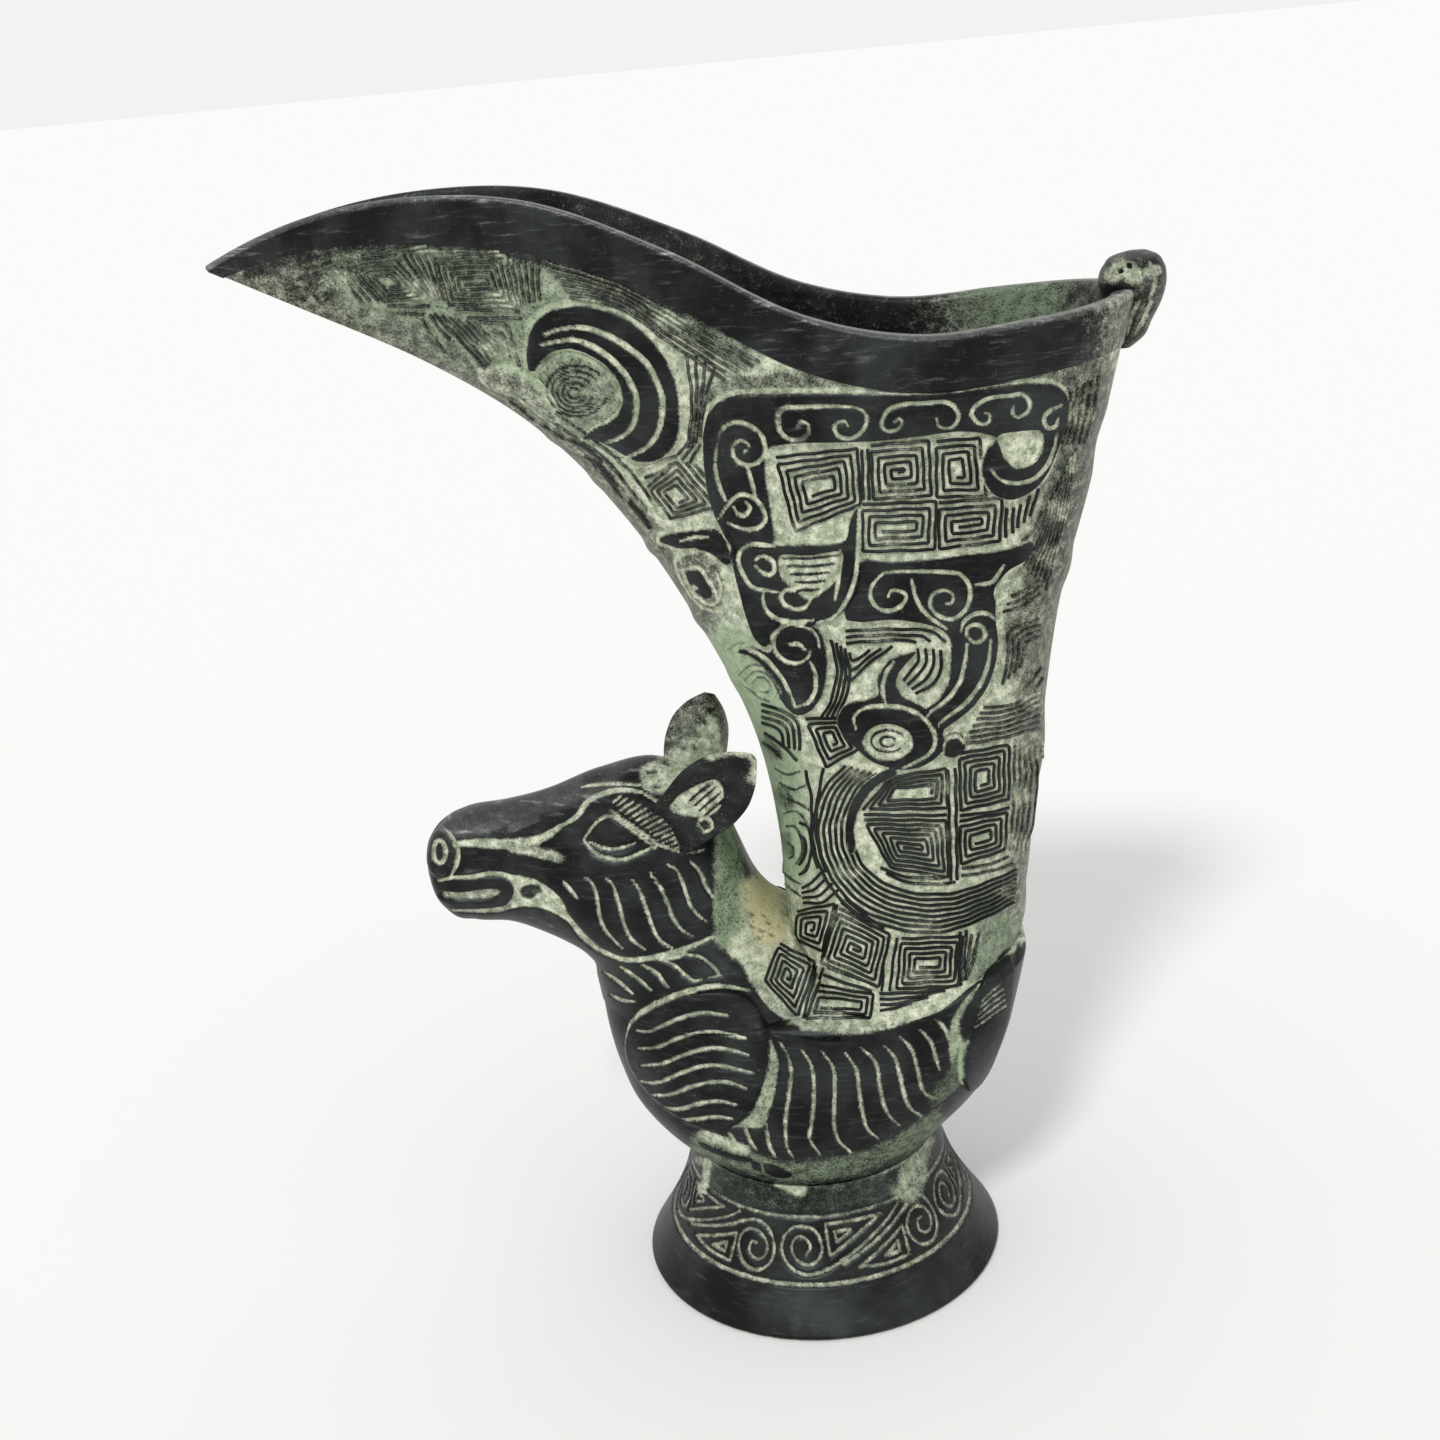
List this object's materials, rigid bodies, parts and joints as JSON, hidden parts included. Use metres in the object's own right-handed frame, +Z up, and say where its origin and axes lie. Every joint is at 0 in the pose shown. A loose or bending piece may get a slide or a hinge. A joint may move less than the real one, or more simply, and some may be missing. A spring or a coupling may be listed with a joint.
{
  "type": "bronze horn-shaped vase",
  "caption": "Spouted horn-shaped bronze cup with relief ornament, carried on the back of a beast with a deer-like head, standing on a flared round foot.",
  "frame": {"origin": "centre of the bounding box's bottom face, on the surface the foot stands on", "axes": "+Z up, -X towards the spout and the beast's head, -Y the beast's left side"},
  "size_m": [0.145, 0.0626, 0.1864],
  "materials": {
    "foot_bronze": "patinated bronze, dark with pale green in the recesses",
    "body_bronze": "dark patinated bronze with pale green incised lines",
    "horn_bronze": "patinated bronze relief, pale green ground and dark worn ridges",
    "lip_bronze": "smooth near-black bronze, worn bright on the edge"
  },
  "bodies": {
    "root": {"foot_ring": "foot_bronze", "belly_shell": "body_bronze", "core_plug": "body_bronze", "horn_cup": "horn_bronze", "rim_band": "lip_bronze", "beast_head": "body_bronze", "left_ear": "body_bronze", "right_ear": "body_bronze", "rim_beast": "lip_bronze"}
  },
  "joints": []
}
